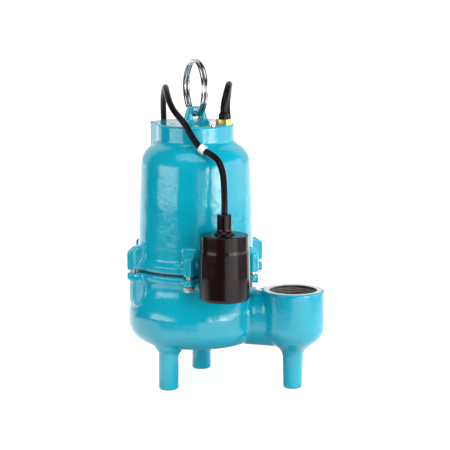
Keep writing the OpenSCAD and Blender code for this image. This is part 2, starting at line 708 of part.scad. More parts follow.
// Flat ties, each a closed loop round both coils
tie_low_r = power_coil_r - (power_turns + 0.25) * power_pitch - power_cord_d / 2 - tie_gap;
tie_high_r = power_coil_r + power_cord_d / 2 + tie_gap;
tie_high_z = float_coil_z + float_pitch + float_cord_d / 2 + tie_gap;
module coil_ties() color("white") placed() translate([coil_at[0], coil_at[1], 0])
    for (a = tie_angles) rotate(a) difference() {
        translate([tie_low_r - tie_t, -tie_w / 2, 0])
            cube([tie_high_r - tie_low_r + 2 * tie_t, tie_w, tie_high_z + tie_t]);
        translate([tie_low_r, -tie_w, tie_t]) cube([tie_high_r - tie_low_r, 2 * tie_w, tie_high_z - tie_t]);
    }

// ---------------------------------------------------------------- parts

motor_housing();
volute_casing();
seal_plate();
housing_gasket();
housing_bolts();
locating_stud();
oil_plug();
cord_gland_nut();
cord_boot();
cord_clip();
stator_core();
stator_winding();
start_capacitor();
overload_protector();
upper_bearing_outer();
lower_bearing_outer();
bearing_spring();
seal_seat();
shaft();
rotor_core();
rotor_end_rings();
impeller();
impeller_nut();
seal_head();
seal_bellows();
upper_bearing_inner();
lower_bearing_inner();
upper_bearing_balls();
lower_bearing_balls();
lifting_ring();
float_shell();
float_cap();
float_neck();
float_tether();
switch_tube();
switch_contacts();
switch_ball();
power_cord();
power_cord_coil();
power_plug();
power_plug_blades();
float_cord();
float_cord_coil();
float_cord_end();
float_plug();
float_plug_blades();
coil_ties();
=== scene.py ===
"""Looks of the submersible effluent pump: its castings, float switch, cords and fittings.

Sizes and places of the pump are in millimetres, from the shaft axis and the floor, and pump()
turns them into metres. Lamps, the floor and the relief of surfaces are in metres.
"""

import math

import bpy
import numpy as np
from mathutils import Matrix, Vector, noise


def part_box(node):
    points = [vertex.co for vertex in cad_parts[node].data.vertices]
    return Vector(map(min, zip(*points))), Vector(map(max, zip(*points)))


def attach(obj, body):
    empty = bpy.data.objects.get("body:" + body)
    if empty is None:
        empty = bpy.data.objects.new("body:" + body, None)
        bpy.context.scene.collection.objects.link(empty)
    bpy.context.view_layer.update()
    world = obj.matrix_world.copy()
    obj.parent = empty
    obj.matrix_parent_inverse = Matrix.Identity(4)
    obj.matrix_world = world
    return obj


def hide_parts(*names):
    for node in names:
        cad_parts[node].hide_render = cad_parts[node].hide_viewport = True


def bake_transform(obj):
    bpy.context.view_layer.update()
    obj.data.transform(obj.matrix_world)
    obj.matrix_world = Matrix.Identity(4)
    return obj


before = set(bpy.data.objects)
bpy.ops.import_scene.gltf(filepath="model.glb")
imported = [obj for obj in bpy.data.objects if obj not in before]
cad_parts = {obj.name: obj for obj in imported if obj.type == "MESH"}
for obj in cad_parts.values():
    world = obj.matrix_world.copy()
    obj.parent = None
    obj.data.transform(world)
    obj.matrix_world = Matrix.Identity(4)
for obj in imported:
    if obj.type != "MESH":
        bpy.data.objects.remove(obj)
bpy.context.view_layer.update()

MM = 0.001
shaft_low, shaft_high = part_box("shaft")
AXIS = (shaft_low + shaft_high) / 2


def pump(x, y, z):
    """Point in metres of a place in millimetres from the shaft axis and the floor."""
    return Vector((AXIS.x + x * MM, AXIS.y + y * MM, z * MM))


def unit(v):
    return Vector(v).normalized()


def facing(direction):
    """Rotation that points a camera or a lamp along a direction."""
    return direction.to_track_quat("-Z", "Y").to_euler()


# ---------------------------------------------------------------- camera

PHOTO_SIZE = 450
FOCAL_PIXELS = 1733
SENSOR = 36
CAMERA_AT = (778.2, -2083.8, 564)
CAMERA_TARGET = (35.8, 12.7, 205.3)


def make_camera():
    data = bpy.data.cameras.new("camera")
    data.sensor_width = SENSOR
    data.lens = FOCAL_PIXELS / PHOTO_SIZE * SENSOR
    data.clip_start = 0.05
    data.clip_end = 50
    camera = bpy.data.objects.new("camera", data)
    camera.location = pump(*CAMERA_AT)
    camera.rotation_euler = facing(pump(*CAMERA_TARGET) - camera.location)
    bpy.context.scene.collection.objects.link(camera)
    bpy.context.scene.camera = camera


# ---------------------------------------------------------------- cord routes

POWER_CORD_D = 8.6
FLOAT_CORD_D = 8.0
CLIP_AT = Vector((31.3, -58.9, 312))
CLIP_DIR = unit((0.85, -0.064, -0.523))
CLIP_HALF = 4
NECK_AT = Vector((71.28, -89.61, 236))
NECK_LEAD = Vector((0, 0, 5))
POWER_EXIT = (39.5, -3, 353.5)

POWER_ROUTE = [
    POWER_EXIT, (39.5, -2.6, 360), (39.8, -0.6, 367), (40, 3.6, 373.8), (39.4, 10.2, 380),
    (37.5, 20, 384.8), (34, 33, 386.5), (30, 46, 384.5), (25, 57.5, 379.5), (20.5, 68, 371),
    (16, 77, 359), (13.5, 85.5, 342), (13, 93.5, 318), (13, 100.5, 288), (13, 106.5, 256),
    (13.5, 112.5, 222), (13.5, 119.5, 188), (15, 127.5, 154), (18, 137.5, 121), (23, 151, 90),
    (29.5, 168, 62), (37, 188, 39), (44.5, 209, 22.5), (50, 230, 11.5), (51.5, 250.5, 6.5),
]
FLOAT_ROUTE = [
    (20, -57.6, 322.6), (13.8, -57, 331.5), (8, -56, 340.5), (1.5, -53.5, 347), (-6, -49.5, 353),
    (-13.5, -43.5, 358.5), (-20, -36.5, 364.5), (-26.5, -27.5, 371), (-32.5, -17, 377),
    (-39, -4, 381.5), (-45, 9.5, 382.5), (-51.5, 22.5, 379.5), (-57.5, 35, 372), (-62.5, 46, 360),
    (-66, 55.5, 343), (-68.5, 64, 320), (-70.5, 72, 290), (-72, 79, 256), (-74, 86, 222),
    (-76, 93.5, 188), (-77, 102, 156), (-77, 113, 127), (-75.5, 127.5, 101), (-72, 145.5, 78),
    (-68, 166, 59), (-65, 187, 44.5), (-64, 208, 35), (-65.5, 222.5, 29.5),
]
TETHER_ROUTE = [
    (46.3, -61.3, 304.4), (54.3, -66.3, 300), (60.5, -72, 292.8), (65.5, -77.5, 282),
    (68.8, -83.5, 267), (70.7, -87.6, 251.5),
]
PLUG_ROUTE = [
    (-78.5, 263.5, 36.5), (-78.5, 276, 40.5), (-73.5, 288, 43.8), (-65, 297.5, 46),
    (-54, 304, 48), (-41.5, 307, 50), (-29, 306.5, 51.5),
]

COIL_AT = (-17, 270)
COIL_GAP = 0.8
COIL_STEPS = 24
COIL_REVERSAL = 0.5
COIL_DIP = 0.25
TIE_T = 1.2
TIE_GAP = 0.3


class Coil:
    """Two layers of turns: they spiral in, climb where the spiral reverses, and spiral out.

    It starts at an angle in degrees and turns to the left where side is 1. turns is one layer's.
    """

    def __init__(self, side, start, z, radius, turns, cord_d):
        self.side, self.start, self.z = side, start, z
        self.radius, self.turns, self.cord_d = radius, turns, cord_d
        self.pitch = cord_d + COIL_GAP
        self.all_turns = 2 * turns + COIL_REVERSAL

    def radius_at(self, turn):
        if turn < self.turns:
            return self.radius - self.pitch * turn
        if turn < self.turns + COIL_REVERSAL:
            dip = COIL_DIP * math.sin(math.pi * (turn - self.turns) / COIL_REVERSAL)
            return self.radius - self.pitch * (self.turns + dip)
        return self.radius - self.pitch * (self.all_turns - turn)

    def line(self):
        """The coil's points, run on straight at both ends for one diameter."""
        points = []
        for i in range(int(COIL_STEPS * self.all_turns) + 1):
            turn = i / COIL_STEPS
            angle = math.radians(self.start) + self.side * 2 * math.pi * turn
            radius = self.radius_at(turn)
            climb = max(0, min(1, (turn - self.turns) / COIL_REVERSAL))
            points.append(Vector((COIL_AT[0] + radius * math.cos(angle),
                                  COIL_AT[1] + radius * math.sin(angle),
                                  self.z + climb * self.pitch)))
        before = points[0] - unit(points[1] - points[0]) * self.cord_d
        after = points[-1] + unit(points[-1] - points[-2]) * self.cord_d
        return [before, *points, after]


POWER_COIL_Z = TIE_T + TIE_GAP + POWER_CORD_D / 2
FLOAT_COIL_Z = POWER_COIL_Z + 2 * (POWER_CORD_D + COIL_GAP)
POWER_COIL = Coil(side=1, start=7.5, z=POWER_COIL_Z, radius=64, turns=3, cord_d=POWER_CORD_D)
FLOAT_COIL = Coil(side=-1, start=205, z=FLOAT_COIL_Z, radius=60, turns=2.75, cord_d=FLOAT_CORD_D)


def smooth_path(places, steps):
    """Catmull-Rom curve in metres through places, with that many steps from each to the next."""
    places = [Vector(place) for place in places]
    curve = []
    for i in range(len(places) - 1):
        a, b = places[max(i - 1, 0)], places[i]
        c, d = places[i + 1], places[min(i + 2, len(places) - 1)]
        for s in range(steps):
            t = s / steps
            curve.append(0.5 * (2 * b + (c - a) * t + (2 * a - 5 * b + 4 * c - d) * t ** 2
                                + (3 * b - a - 3 * c + d) * t ** 3))
    return [pump(*place) for place in curve + places[-1:]]


# ---------------------------------------------------------------- mesh helpers


def new_object(name, vertices, faces, material, smooth=True):
    mesh = bpy.data.meshes.new(name)
    mesh.from_pydata([tuple(v) for v in vertices], [], faces)
    mesh.polygons.foreach_set("use_smooth", [smooth] * len(mesh.polygons))
    mesh.update()
    piece = bpy.data.objects.new(name, mesh)
    bpy.context.scene.collection.objects.link(piece)
    piece.data.materials.append(material)
    return piece


def carried_sides(points):
    """Two side vectors at each point of a line, carried along it without twist."""
    last = len(points) - 1
    side = None
    sides = []
    for i in range(last + 1):
        tangent = unit(points[min(i + 1, last)] - points[max(i - 1, 0)])
        if side is None:
            side = tangent.orthogonal()
        side = unit(side - tangent * side.dot(tangent))
        sides.append((side, tangent.cross(side)))
    return sides


def tube(name, points, radius, sides, material):
    """Round tube along points in metres, closed at both ends."""
    vertices = []
    for point, (u, w) in zip(points, carried_sides(points)):
        for k in range(sides):
            angle = 2 * math.pi * k / sides
            vertices.append(point + radius * (math.cos(angle) * u + math.sin(angle) * w))
    faces = []
    for first in range(0, (len(points) - 1) * sides, sides):
        for k in range(sides):
            j = (k + 1) % sides
            faces.append((first + k, first + j, first + sides + j, first + sides + k))
    faces.append(tuple(reversed(range(sides))))
    faces.append(tuple(range(len(vertices) - sides, len(vertices))))
    return new_object(name, vertices, faces, material)


# ---------------------------------------------------------------- materials


class Nodes:
    """Short calls for building the node tree of a material or a world."""

    def __init__(self, owner, shader="Principled BSDF"):
        owner.use_nodes = True
        self.tree = owner.node_tree
        self.shader = self.tree.nodes[shader]

    def put(self, value, target):
        """Links an output to the target input, or sets the input to a constant."""
        if isinstance(value, bpy.types.NodeSocket):
            self.tree.links.new(value, target)
        else:
            target.default_value = value

    def shade(self, **inputs):
        for key, value in inputs.items():
            self.put(value, self.shader.inputs[key.replace("_", " ")])

    def add(self, kind, *inputs, **named):
        """New node. A capitalised name is an input of it, and any other name a setting."""
        node = self.tree.nodes.new(kind)
        for key, value in named.items():
            if key[0].isupper():
                self.put(value, node.inputs[key.replace("_", " ")])
            else:
                setattr(node, key, value)
        for target, value in zip(node.inputs, inputs):
            self.put(value, target)
        return node

    def calc(self, operation, a, b):
        return self.add("ShaderNodeMath", a, b, operation=operation).outputs[0]

    def dot(self, a, b):
        return self.add("ShaderNodeVectorMath", a, b, operation="DOT_PRODUCT").outputs["Value"]

    def place(self):
        """The surface point, the same in every pose."""
        return self.add("ShaderNodeTexCoord").outputs["Object"]

    def noise(self, scale, detail=3):
        return self.add("ShaderNodeTexNoise", Vector=self.place(), Scale=scale, Detail=detail,
                        Roughness=0.5).outputs["Fac"]

    def spread(self, source, low, high, start=0.3, end=0.7):
        """source from start to end becomes low to high."""
        return self.add("ShaderNodeMapRange", Value=source, From_Min=start, From_Max=end,
                        To_Min=low, To_Max=high).outputs["Result"]

    def between(self, factor, a, b):
        """Colour a to colour b by the factor. 6, 7 and 2 are the node's sockets for colours."""
        node = self.add("ShaderNodeMix", data_type="RGBA", Factor=factor)
        self.put(a, node.inputs[6])
        self.put(b, node.inputs[7])
        return node.outputs[2]

    def bump(self, relief, height, strength, **under):
        """Bumps by the relief from 0 to 1, over those of the Normal under them."""
        return self.add("ShaderNodeBump", Height=relief, Distance=height, Strength=strength,
                        **under).outputs["Normal"]


def rgb(red, green, blue):
    """Linear colour of an sRGB colour written from 0 to 255."""
    def linear(c):
        c = c / 255
        return c / 12.92 if c <= 0.04045 else ((c + 0.055) / 1.055) ** 2.4
    return (linear(red), linear(green), linear(blue), 1)


def epoxy():
    """Glossy teal epoxy with a faint orange peel over sand-cast iron."""
    material = bpy.data.materials.new("teal_epoxy")
    n = Nodes(material)
    tone = n.between(n.spread(n.noise(14, 4), 0, 1), rgb(0, 151, 175), rgb(0, 165, 189))
    speck = n.spread(n.noise(520, 2), 0, 0.35, 0.66, 0.8)
    swell = n.bump(n.noise(170, 2), height=0.0006, strength=0.25)
    n.shade(IOR=1.5,
            Base_Color=n.between(speck, tone, rgb(0, 120, 144)),
            Roughness=n.spread(n.noise(70), 0.1, 0.2),
            Normal=n.bump(n.noise(560, 2), height=0.00018, strength=0.5, Normal=swell))
    return material


def mottled(name, tones, patches, roughness, shines, grain, height, strength, **constants):
    """Two tones in patches, two roughnesses in shines, and a grain. All three are noise scales."""
    material = bpy.data.materials.new(name)
    n = Nodes(material)
    colour, other = (rgb(*tone) for tone in tones)
    n.shade(Base_Color=n.between(n.spread(n.noise(patches), 0, 1), colour, other),
            Roughness=n.spread(n.noise(shines), *roughness),
            Normal=n.bump(n.noise(grain), height, strength),
            **constants)
    return material


def polymer(name, colour, other, roughness, grain=900, height=0.00005, ior=1.5):
    return mottled(name, (colour, other), patches=60, shines=140,
                   roughness=(roughness * 0.85, roughness * 1.2),
                   grain=grain, height=height, strength=0.7, IOR=ior)


def metal(name, colour, other, roughness, grain=1200, height=0.00003, patches=50):
    return mottled(name, (colour, other), patches=patches, shines=200,
                   roughness=(roughness * 0.75, roughness * 1.3),
                   grain=grain, height=height, strength=0.6, Metallic=1.0)


EPOXY = epoxy()
RUBBER = polymer("black_cord", (14, 6, 7), (20, 12, 13), 0.36, ior=1.22)
FLOAT_PLASTIC = polymer("float_plastic", (18, 5, 6), (25, 8, 9), 0.18, 500, ior=1.3)
NYLON = polymer("white_nylon", (232, 232, 226), (215, 216, 210), 0.4)
CHROME = metal("bright_ring", (190, 190, 194), (168, 168, 172), 0.1, 300, 0.00001, 40)
STEEL = metal("zinc_steel", (176, 176, 176), (146, 147, 148), 0.25)
BOLT_STEEL = metal("dull_zinc", (186, 186, 180), (120, 134, 134), 0.42, 700, 0.00006, 120)
DARK_STEEL = metal("lamination_steel", (105, 106, 110), (84, 85, 88), 0.45)
BRASS = metal("brass", (240, 222, 140), (226, 202, 112), 0.4)
COPPER = metal("enamelled_copper", (170, 85, 50), (140, 62, 36), 0.35, 350, 0.0004)
ALUMINIUM = metal("cast_aluminium", (170, 172, 175), (150, 152, 156), 0.45)
# Near-white iron for the boss's faced rim: the rim is real, but its paleness is partly a painted
# highlight.
FACED_IRON_AND_HIGHLIGHT = metal("faced_iron_with_painted_highlight", (224, 227, 228), (203, 207, 209), 0.28, 900, 0.00004, 90)
CAST_IRON = metal("cast_iron", (74, 74, 76), (56, 56, 58), 0.5, 450, 0.0002)
# Dark bare iron for the volute's wet faces. On the thread it is also painted shade, and the pale
# thread iron on the next line is a painted highlight copy of it.
RAW_IRON_AND_THREAD_SHADE = polymer("oily_raw_iron_and_painted_thread_shade", (50, 45, 38), (32, 28, 24), 0.32, 420, 0.0002)
LIT_THREAD_IRON = polymer("cut_thread_iron_painted_highlight", (170, 164, 152), (120, 114, 104), 0.25, 420, 0.0001)
CERAMIC = polymer("ceramic", (236, 234, 226), (226, 224, 216), 0.2)
GASKET = polymer("gasket", (22, 22, 24), (34, 34, 36), 0.7)
# Gasket edge painted over in teal, but darker than the epoxy: painted shade of the seam between
# the flanges.
TEAL_GASKET_IN_PAINTED_SHADE = polymer("teal_gasket_painted_shade", (2, 62, 76), (2, 82, 98), 0.4)
PHENOLIC = polymer("inner_plastic", (62, 62, 64), (48, 48, 50), 0.42)

NODE_MATERIALS = [
    (EPOXY, "motor_housing", "volute_casing"),
    (CAST_IRON, "seal_plate", "impeller"),
    (TEAL_GASKET_IN_PAINTED_SHADE, "housing_gasket"),
    (BOLT_STEEL, "housing_bolts", "locating_stud"),
    (STEEL, "oil_plug", "shaft", "impeller_nut", "seal_head", "bearing_spring",
     "upper_bearing_outer", "upper_bearing_inner", "lower_bearing_outer", "lower_bearing_inner"),
    (CHROME, "lifting_ring", "switch_ball", "upper_bearing_balls", "lower_bearing_balls"),
    (BRASS, "cord_gland_nut", "switch_contacts", "power_plug_blades", "float_plug_blades"),
    (RUBBER, "cord_boot", "power_cord", "power_cord_coil", "power_plug", "float_cord",
     "float_cord_coil", "float_cord_end", "float_plug", "float_tether"),
    (NYLON, "cord_clip", "switch_tube", "coil_ties"),
    (DARK_STEEL, "stator_core", "rotor_core"),
    (COPPER, "stator_winding"),
    (ALUMINIUM, "rotor_end_rings"),
    (PHENOLIC, "start_capacitor", "overload_protector"),
    (CERAMIC, "seal_seat"),
    (GASKET, "seal_bellows"),
    (FLOAT_PLASTIC, "float_shell", "float_cap", "float_neck"),
]

for material, *names in NODE_MATERIALS:
    for name in names:
        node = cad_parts[name]
        if node.material_slots:
            for material_slot in node.material_slots:
                material_slot.material = material
        else:
            node.data.materials.append(material)

# ---------------------------------------------------------------- cords

CORD_SIDES = 16
ROUTE_STEPS = 3
TETHER_STEPS = 4

make_camera()

clip_in = CLIP_AT + CLIP_DIR * CLIP_HALF
clip_out = CLIP_AT - CLIP_DIR * CLIP_HALF
power_path = smooth_path(POWER_ROUTE + POWER_COIL.line(), ROUTE_STEPS)
float_path = smooth_path([clip_in, clip_out] + FLOAT_ROUTE + FLOAT_COIL.line() + PLUG_ROUTE,
                         ROUTE_STEPS)
tether_path = smooth_path([clip_in] + TETHER_ROUTE + [NECK_AT + NECK_LEAD, NECK_AT],
                          TETHER_STEPS)

power_cord = tube("power_cord_flex", power_path, POWER_CORD_D / 2 * MM, CORD_SIDES, RUBBER)
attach(power_cord, "casing")
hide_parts("power_cord", "power_cord_coil")

float_cord = tube("float_switch_flex", float_path, FLOAT_CORD_D / 2 * MM, CORD_SIDES, RUBBER)
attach(float_cord, "casing")
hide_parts("float_cord", "float_cord_coil", "float_cord_end")

tether = tube("float_tether_flex", tether_path, FLOAT_CORD_D / 2 * MM, CORD_SIDES, RUBBER)
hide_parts("float_tether")
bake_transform(tether)

# ---------------------------------------------------------------- floor, light and world

# A reach is a pair of distances from the middle of the floor, and a cone is a pair of cosines of
# the angle to a direction: something changes from the first to the second.
MIDDLE = pump(20, 0, 200)
TO_CAMERA = unit((pump(*CAMERA_AT) - MIDDLE).to_2d().to_3d())
CAMERA_AZIMUTH = math.atan2(TO_CAMERA.y, TO_CAMERA.x)
FLOOR_SIZE = 60
PALE_FLOOR = (0.62, 0.62, 0.62, 1)
DARK_FLOOR = (0.05, 0.05, 0.05, 1)
PALE_REACH = (0.38, 0.5)
PALE_RIGHT, RIGHT_CONE = 0.3, (-0.2, 0.6)
PALE_LEFT, LEFT_CONE = 0.35, (-0.98, -0.86)
BRIGHT_AZIMUTH, BRIGHT_CONE = 31, (0.85, 0.91)
BACK_CONE = (0.44, 0.56)
SEEN_GLOW, SEEN_REACH = (0.74, 1.0), (0.2, 0.6)
MIRRORED_GLOW, MIRRORED_REACH = 1.6, (0.06, 0.16)
WHITE = (1, 1, 1, 1)
ROOM_LIGHT = 0.46
ROOM_GLOSS = 0.06
SOFTBOX_DISTANCE = 1.6
SOFTBOXES = [  # name, azimuth, lower edge, upper edge, width, watts
    ("left_softbox", -59, 0.1, 0.6, 1.3, 9.8),
    ("right_panel", 80, 0.0, 1.0, 2.4, 18.4),
    ("right_key", 45, 0.1, 0.7, 0.5, 6),
    ("neck_light", 48, 0.16, 0.42, 1.0, 3.8),
    ("narrow_strip", 25, 0.08, 0.6, 0.16, 3.0),
]
TOP_AZIMUTH, TOP_DISTANCE, TOP_RISE = -8, 0.7, 1.33


def from_camera_side(azimuth):
    """Level direction at an azimuth in degrees, measured from the camera's side to the right."""
    angle = CAMERA_AZIMUTH + math.radians(azimuth)
    return Vector((math.cos(angle), math.sin(angle), 0))


def make_stage():
    """Floor that the camera sees near white, that lights as a pale table would, and that glows for
    glossy rays where it is pale: a painted reflection of a lit table, faded out under the pump.

    The table goes on behind the pump and at BRIGHT_AZIMUTH. Elsewhere the floor is dark past
    its edge, which lies PALE_RIGHT and PALE_LEFT further out on the right and the left.
    """
    bpy.ops.mesh.primitive_plane_add(size=FLOOR_SIZE, location=(0, 0, 0))
    floor = bpy.context.object
    floor.name = "floor"
    material = bpy.data.materials.new("pale_floor")
    n = Nodes(material)
    place = n.place()
    reach = n.add("ShaderNodeVectorMath", place, operation="LENGTH").outputs["Value"]
    towards = n.add("ShaderNodeVectorMath", place, operation="NORMALIZE").outputs["Vector"]
    bright = n.dot(towards, from_camera_side(BRIGHT_AZIMUTH))
    back = n.dot(towards, -TO_CAMERA)
    right = n.dot(towards, from_camera_side(90))
    ends = n.calc("MULTIPLY", n.spread(bright, 1, 0, *BRIGHT_CONE),
                  n.spread(back, 1, 0, *BACK_CONE))
    further = n.calc("ADD", n.spread(right, 0, PALE_RIGHT, *RIGHT_CONE),
                     n.spread(right, PALE_LEFT, 0, *LEFT_CONE))
    past_edge = n.spread(n.calc("SUBTRACT", reach, further), 0, 1, *PALE_REACH)
    dark = n.calc("MULTIPLY", past_edge, ends)
    rays = n.add("ShaderNodeLightPath")
    seen = n.calc("MULTIPLY", rays.outputs["Is Camera Ray"],
                  n.spread(reach, *SEEN_GLOW, *SEEN_REACH))
    # Painted reflection: the pale floor glows for glossy rays, except under the pump.
    reflection_glow = n.calc("MULTIPLY", n.spread(dark, MIRRORED_GLOW, 0, 0, 1),
                 n.spread(reach, 0, 1, *MIRRORED_REACH))
    glow_in_reflections = n.calc("MULTIPLY", rays.outputs["Is Glossy Ray"], reflection_glow)
    n.shade(Roughness=0.9,
            Base_Color=n.between(dark, PALE_FLOOR, DARK_FLOOR),
            Emission_Color=WHITE,
            Emission_Strength=n.calc("ADD", seen, glow_in_reflections))
    floor.data.materials.append(material)


def make_world():
    """White to the camera, even light for the object, and for gloss white behind the pump only."""
    world = bpy.data.worlds.new("studio")
    bpy.context.scene.world = world
    n = Nodes(world, "Background")
    rays = n.add("ShaderNodeLightPath")
    behind = n.dot(n.add("ShaderNodeTexCoord").outputs["Generated"], -TO_CAMERA)
    gloss = n.spread(behind, ROOM_GLOSS, 1, *BACK_CONE)
    unseen = n.spread(rays.outputs["Is Glossy Ray"], ROOM_LIGHT, gloss, 0, 1)
    n.shade(Color=WHITE, Strength=n.spread(rays.outputs["Is Camera Ray"], unseen, 1, 0, 1))


def area_lamp(name, place, direction, width, height, watts):
    data = bpy.data.lights.new(name, "AREA")
    data.shape = "RECTANGLE"
    data.size = width
    data.size_y = height
    data.energy = watts
    lamp = bpy.data.objects.new(name, data)
    lamp.location = place
    lamp.rotation_euler = facing(direction)
    bpy.context.scene.collection.objects.link(lamp)


def softbox(name, azimuth, low, high, width, watts):
    """Upright lamp that faces the pump from an azimuth, between two heights."""
    direction = from_camera_side(azimuth)
    place = Vector((MIDDLE.x, MIDDLE.y, (low + high) / 2)) + direction * SOFTBOX_DISTANCE
    area_lamp(name, place, -direction, width, high - low, watts)


make_stage()
make_world()
for box in SOFTBOXES:
    softbox(*box)
overhead = MIDDLE + from_camera_side(TOP_AZIMUTH) * TOP_DISTANCE + Vector((0, 0, TOP_RISE))
area_lamp("top_softbox", overhead, MIDDLE - overhead, width=1.4, height=1.0, watts=10.5)
bpy.context.scene.view_settings.view_transform = "Standard"

# ---------------------------------------------------------------- castings

HOUSING_FILLET, HOUSING_VOXEL = 2.4, 1.1
VOLUTE_FILLET, VOLUTE_VOXEL = 3.4, 1.2
SAND_RELIEF = [(0.016, 0.00013), (0.006, 0.00007)]
AXIS_XY = np.array((AXIS.x, AXIS.y))
DRILL_SIDES = 48
DRILL_OVER = 2


def rows(items, attribute):
    """An attribute of all items, as one row of three numbers for each."""
    values = np.empty(len(items) * 3)
    items.foreach_get(attribute, values)
    return values.reshape(-1, 3)


def coordinates(piece):
    return rows(piece.data.vertices, "co")


def vertex_normals(piece):
    return rows(piece.data.vertex_normals, "vector")


def move_to(piece, places):
    piece.data.vertices.foreach_set("co", places.ravel())
    piece.data.update()


def modify(piece, kind, **settings):
    """Puts the result of one modifier into the piece's mesh."""
    modifier = piece.modifiers.new(kind.lower(), kind)
    for key, value in settings.items():
        setattr(modifier, key, value)
    graph = bpy.context.evaluated_depsgraph_get()
    mesh = bpy.data.meshes.new_from_object(piece.evaluated_get(graph))
    piece.modifiers.clear()
    piece.data = mesh


def remesh(piece, voxel):
    modify(piece, "REMESH", mode="VOXEL", voxel_size=voxel, use_smooth_shade=True)


def grow(piece, amount):
    move_to(piece, coordinates(piece) + vertex_normals(piece) * amount)


def roughen(piece, waves):
    """Moves the surface in and out by noise, but not below the floor.

    waves holds (size of a lump, height).
    """
    places = coordinates(piece)
    heights = np.zeros(len(places))
    for size, height in waves:
        heights += [height * noise.noise(Vector(p) / size) for p in places]
    moved = places + vertex_normals(piece) * heights[:, None]
    moved[:, 2] = np.maximum(moved[:, 2], 0)
    move_to(piece, moved)


def drill(piece, place, radius, top, depth):
    """Cuts an upright round hole down from a height."""
    ends = [pump(*place, top - depth), pump(*place, top + DRILL_OVER)]
    bit = tube("drill", ends, radius * MM, DRILL_SIDES, EPOXY)
    modify(piece, "BOOLEAN", operation="DIFFERENCE", solver="MANIFOLD", object=bit)
    bpy.data.objects.remove(bit)


def casting(name, node, fillet, voxel, materials):
    """A cast node with real fillets: grown and shrunk again, so that its inner corners fill."""
    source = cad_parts[node]
    piece = bpy.data.objects.new(name, source.data.copy())
    bpy.context.scene.collection.objects.link(piece)
    remesh(piece, voxel * MM)
    for amount in (fillet, -fillet):
        grow(piece, amount * MM)
        remesh(piece, voxel * MM)
    modify(piece, "SMOOTH", factor=0.5, iterations=3)
    roughen(piece, SAND_RELIEF)
    piece.data.materials.clear()
    for material in materials:
        piece.data.materials.append(material)
    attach(piece, "casing")
    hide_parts(node)
    return piece


# The discharge boss with its port, and what of the volute is bare iron. Faces are sorted by their
# normal: UP and FLAT are its least upward part, and INWARD its least part towards an axis.
BOSS_AT = (133, 0)
BOSS_TOP = 129
RIM_R, RIM_DEPTH, FLAT = 37.8, 1.3, 0.8
WET_PORT_R, WET_PORT_TOP = 31.5, 128.2
ELBOW_TOP, UP = 126, 0.2
CHAMBER_R = 84
WET_BOTTOM = 61
INWARD = 0.3
EPOXY_FACE, WET_FACE, RIM_FACE = 0, 1, 2

# The discharge's 2 inch NPT thread
THREAD_PITCH = 2.209
THREAD_CREST_R = 29.2
THREAD_ROOT_R = 30.4
THREAD_LOW = 106
THREAD_HIGH = BOSS_TOP - 1
THREAD_STEPS = 72
THREAD_PROFILE = [(THREAD_CREST_R, 0.0), (THREAD_CREST_R, 0.12), (THREAD_ROOT_R, 0.5),
                  (THREAD_ROOT_R, 0.62), (THREAD_CREST_R, 1.0)]
# Each thread turn's four faces: the first two take the pale iron as painted highlight, and the
# last two the dark iron as painted shade.
THREAD_LIT_AND_SHADED_FACES = [0, 0, 1, 1]
THREAD_GAP = 0.1
PORT_DEPTH = BOSS_TOP - THREAD_LOW + 1

# The volute's wall. A bulge goes from VOLUTE_R at its first height to WALL_R at its second.
VOLUTE_R = 88.5
WALL_R = 76
WIDE_BULGE = (98, 138)
TIGHT_BULGE = (92, 132)
WALL_BLEND = (1.5, 3.5)
BOSS_CLEAR = (68, 92)

# The passage from the volute to the boss. Each pair is where its lift fades in or out.
PASSAGE_RISE = 7
PASSAGE_BOTTOM, PASSAGE_TOP = (88, 108), (112, 128)
PASSAGE_SIDE = (28, 42)
VOLUTE_CLEAR = (72, 84)
PORT_CLEAR, PORT_REACH = (31, 38), (50, 64)

# The roof with its lug and tapped hole. The lug's foot is in parts of its height.
ROOF_TOP = 338
LUG_ANGLE = 40.5
LUG_H = 22
LUG_DRAFT = 0.3
LUG_FOOT = (0.02, 0.12)
TAPPED_HOLE_AT = (-24.7, -18.5)
TAPPED_HOLE_R, TAPPED_HOLE_DEPTH = 2.8, 5


def from_axis(places, x, y):
    """Distances in millimetres of places in metres from an upright axis given in millimetres."""
    axis = pump(x, y, 0)
    return np.hypot(places[:, 0] - axis.x, places[:, 1] - axis.y) / MM


def faces_in(middles, normals, x, y, reach):
    """Faces nearer than reach to an upright axis that look towards it."""
    axis = pump(x, y, 0)
    inward = normals[:, 0] * (axis.x - middles[:, 0]) + normals[:, 1] * (axis.y - middles[:, 1])
    distance = from_axis(middles, x, y)
    return (distance < reach) & (inward > INWARD * distance * MM)


def finish_volute(piece):
    """Bare iron in the water's way, a faced rim on the boss whose near-white top is partly a
    painted highlight, and epoxy elsewhere.
    """
    faces = piece.data.polygons
    middles, normals = rows(faces, "center"), rows(faces, "normal")
    z, upward = middles[:, 2] / MM, normals[:, 2]
    to_boss = from_axis(middles, *BOSS_AT)
    port = faces_in(middles, normals, *BOSS_AT, WET_PORT_R) & (z < WET_PORT_TOP)
    elbow = (to_boss < WET_PORT_R) & (upward > UP) & (z < ELBOW_TOP)
    chamber = faces_in(middles, normals, 0, 0, CHAMBER_R)
    wet = (port | elbow | chamber) & (z > WET_BOTTOM)
    # Upward faces of the rim: near white, partly a painted highlight of the top face.
    rim = (to_boss < RIM_R) & (z > BOSS_TOP - RIM_DEPTH) & (upward > FLAT)
    chosen = np.where(rim, RIM_FACE, np.where(wet, WET_FACE, EPOXY_FACE))
    faces.foreach_set("material_index", chosen.astype(np.int32))
    piece.data.update()


def falling(values, low, high):
    """1 below low, 0 above high, and half a cosine wave between them."""
    return (1 + np.cos(math.pi * np.clip((values - low) / (high - low), 0, 1))) / 2


def rising(values, low, high):
    return 1 - falling(values, low, high)


